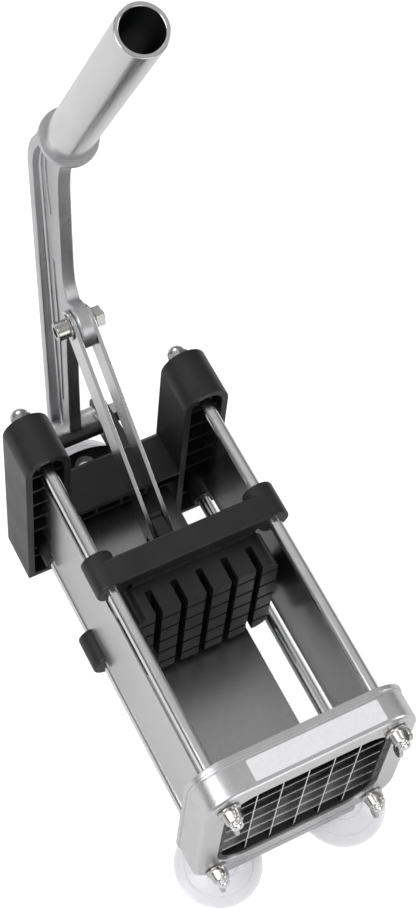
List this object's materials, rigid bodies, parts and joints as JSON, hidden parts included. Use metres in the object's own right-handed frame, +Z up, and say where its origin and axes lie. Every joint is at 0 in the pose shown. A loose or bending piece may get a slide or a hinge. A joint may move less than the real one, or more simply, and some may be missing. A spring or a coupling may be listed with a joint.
{
  "type": "french fry cutter",
  "caption": "Lever-operated potato chipper: blade grid in a pressed front shell, guide rods, finger pusher, tall rear lever with twin links, suction feet.",
  "frame": {"origin": "middle of the base, at table height under the suction cups", "axes": "+Z up, +X to the right seen from the front, -Y towards the blade grid at the front"},
  "size_m": [0.109, 0.2842, 0.3888],
  "materials": {
    "shell_metal": "satin pressed sheet",
    "blade_steel": "fine ground",
    "rod_chrome": "polished",
    "plated": "plated, slightly dull",
    "guard_metal": "polished sheet",
    "floor_metal": "plain sheet",
    "black_plastic": "satin moulded",
    "clear_cup": "clear soft vinyl, glossy",
    "lever_metal": "cast, satin",
    "tube_metal": "satin tube",
    "black_metal": "black"
  },
  "bodies": {
    "frame": {"front_shell": "shell_metal", "front_foot_plate": "shell_metal", "blade_holder": "black_plastic", "upright_blades": "blade_steel", "level_blades": "blade_steel", "top_rods": "rod_chrome", "lower_rods": "rod_chrome", "rod_nuts": "plated", "left_guard": "guard_metal", "right_guard": "guard_metal", "floor_tray": "floor_metal", "rear_housing": "black_plastic", "pivot_bolt": "plated", "pivot_nut": "plated", "front_cups": "clear_cup", "rear_cup": "clear_cup", "cup_studs": "plated", "cup_nuts": "plated"},
    "pusher": {"pusher_yoke": "black_plastic", "finger_block": "black_plastic", "block_screws": "plated"},
    "lever": {"lever_arm": "lever_metal", "stop_bar": "black_metal", "handle_tube": "tube_metal", "link_bolt": "plated", "link_nut": "plated"},
    "link": {"left_link": "lever_metal", "right_link": "lever_metal", "link_pin": "plated"},
    "wing_top_left": {"wing_nut_top_left": "plated"},
    "wing_top_right": {"wing_nut_top_right": "plated"},
    "wing_low_left": {"wing_nut_low_left": "plated"},
    "wing_low_right": {"wing_nut_low_right": "plated"}
  },
  "joints": [
    {"name": "lever_swing", "type": "hinge", "parent": "frame", "child": "lever", "pos_m": [0, 0.1103, 0.019], "axis": [1, 0, 0], "range_deg": [-6, 43.5]},
    {"name": "link_swing", "type": "hinge", "parent": "lever", "child": "link", "pos_m": [0, 0.1013, 0.133], "axis": [1, 0, 0], "range_deg": [-64, 9]},
    {"name": "pusher_slide", "type": "slide", "parent": "frame", "child": "pusher", "axis": [0, -1, 0], "range_m": [-0.013, 0.094]},
    {"name": "wing_top_left_spin", "type": "hinge", "parent": "frame", "child": "wing_top_left", "pos_m": [-0.04085, -0.1347, 0.109], "axis": [0, 1, 0], "continuous": true},
    {"name": "wing_top_right_spin", "type": "hinge", "parent": "frame", "child": "wing_top_right", "pos_m": [0.04085, -0.1347, 0.109], "axis": [0, 1, 0], "continuous": true},
    {"name": "wing_low_left_spin", "type": "hinge", "parent": "frame", "child": "wing_low_left", "pos_m": [-0.04085, -0.1347, 0.0278], "axis": [0, 1, 0], "continuous": true},
    {"name": "wing_low_right_spin", "type": "hinge", "parent": "frame", "child": "wing_low_right", "pos_m": [0.04085, -0.1347, 0.0278], "axis": [0, 1, 0], "continuous": true}
  ],
  "couplings": [
    {"joint": "link_swing", "follows": "lever_swing", "ratio": -1.45},
    {"joint": "pusher_slide", "follows": "lever_swing", "m_per_rad": 0.123}
  ]
}
